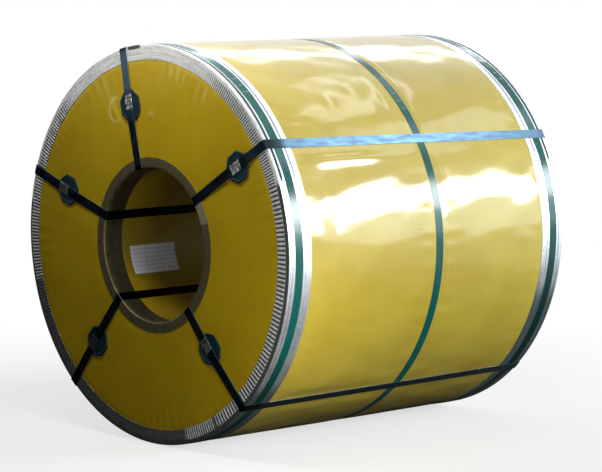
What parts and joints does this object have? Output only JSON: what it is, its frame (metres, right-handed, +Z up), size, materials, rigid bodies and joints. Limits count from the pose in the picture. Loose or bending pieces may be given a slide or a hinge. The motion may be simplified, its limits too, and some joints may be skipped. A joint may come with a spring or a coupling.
{
  "type": "steel coil",
  "caption": "Packed steel coil lying on its side: wound strip in yellow sheet, with crimped metal edge protectors, hoop straps and eye straps through its bore.",
  "frame": {"origin": "on the floor below the middle of the coil", "axes": "+X along the coil's axis, away from the end with the strap seals; +Z up"},
  "size_m": [1.2625, 1.3053, 1.3053],
  "materials": {
    "strip_steel": "cold-rolled, wound tight",
    "packing_sheet": "glossy yellow coated sheet",
    "galvanised_sheet": "bright galvanised, crimped flange",
    "dull_galvanised_sheet": "dull galvanised",
    "hoop_strap": "teal-green lacquered steel strap",
    "eye_strap": "blue-black lacquered steel strap",
    "pad_plastic": "dark teal moulded plastic",
    "seal_steel": "bright zinc plated, crimped",
    "label_paper": "plain paper"
  },
  "bodies": {
    "root": {"wound_strip": "strip_steel", "outer_wrap": "packing_sheet", "bore_liner": "packing_sheet", "near_end_disc": "packing_sheet", "far_end_disc": "packing_sheet", "near_rim_protector": "galvanised_sheet", "far_rim_protector": "galvanised_sheet", "near_bore_protector": "dull_galvanised_sheet", "far_bore_protector": "dull_galvanised_sheet", "near_hoop_strap": "hoop_strap", "middle_hoop_strap": "hoop_strap", "far_hoop_strap": "hoop_strap", "bore_label": "label_paper", "top_eye_strap": "eye_strap", "top_pad": "pad_plastic", "top_seal": "seal_steel", "upper_right_eye_strap": "eye_strap", "upper_right_pad": "pad_plastic", "upper_right_seal": "seal_steel", "lower_right_eye_strap": "eye_strap", "lower_right_pad": "pad_plastic", "lower_right_seal": "seal_steel", "lower_left_eye_strap": "eye_strap", "lower_left_pad": "pad_plastic", "lower_left_seal": "seal_steel", "upper_left_eye_strap": "eye_strap", "upper_left_pad": "pad_plastic", "upper_left_seal": "seal_steel"}
  },
  "joints": []
}
